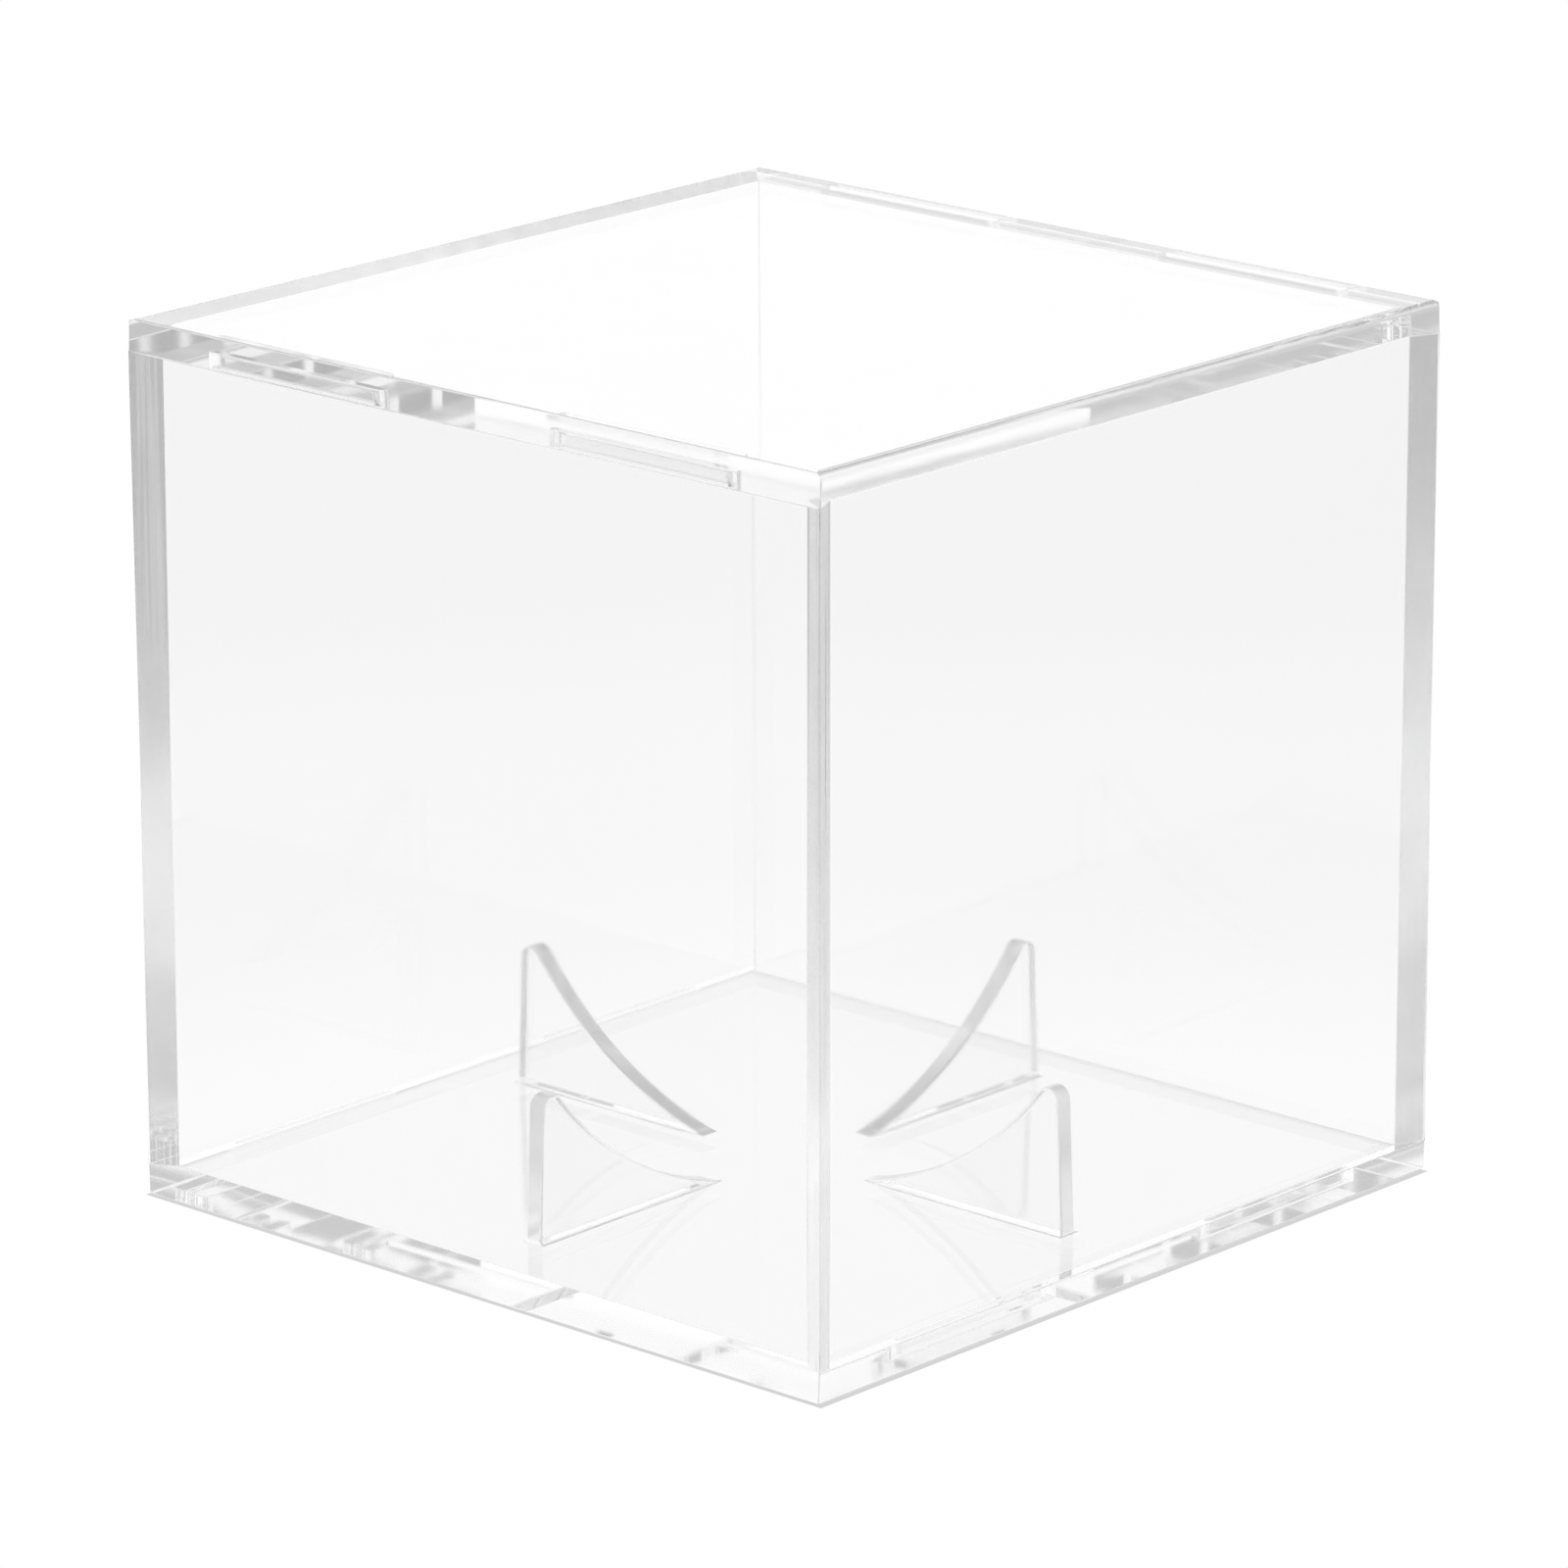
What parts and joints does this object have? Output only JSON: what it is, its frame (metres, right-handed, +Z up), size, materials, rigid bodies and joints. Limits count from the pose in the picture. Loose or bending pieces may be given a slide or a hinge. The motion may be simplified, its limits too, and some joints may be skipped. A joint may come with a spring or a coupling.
{
  "type": "clear ball display cube",
  "caption": "Clear plastic cube in a lower and an upper half that interlock crosswise; upright fins inside cradle a ball and the upper half lifts off.",
  "frame": {"origin": "centre of the square footprint, on the surface that the cube stands on", "axes": "+Z up; the front and back walls, on -Y and +Y, belong to the lower half; the left and right walls, on -X and +X, belong to the upper half"},
  "size_m": [0.083, 0.083, 0.0821],
  "materials": {
    "lower_clear": "polished",
    "upper_clear": "polished"
  },
  "bodies": {
    "lower_half": {"base_plate": "lower_clear", "front_wall": "lower_clear", "back_wall": "lower_clear", "cradle_fin_front": "lower_clear", "cradle_fin_back": "lower_clear", "cradle_fin_left": "lower_clear", "cradle_fin_right": "lower_clear"},
    "upper_half": {"top_plate": "upper_clear", "left_wall": "upper_clear", "right_wall": "upper_clear"}
  },
  "joints": [
    {"name": "upper_half_lift", "type": "slide", "parent": "lower_half", "child": "upper_half", "axis": [0, 0, 1], "range_m": [0, 0.088]}
  ]
}
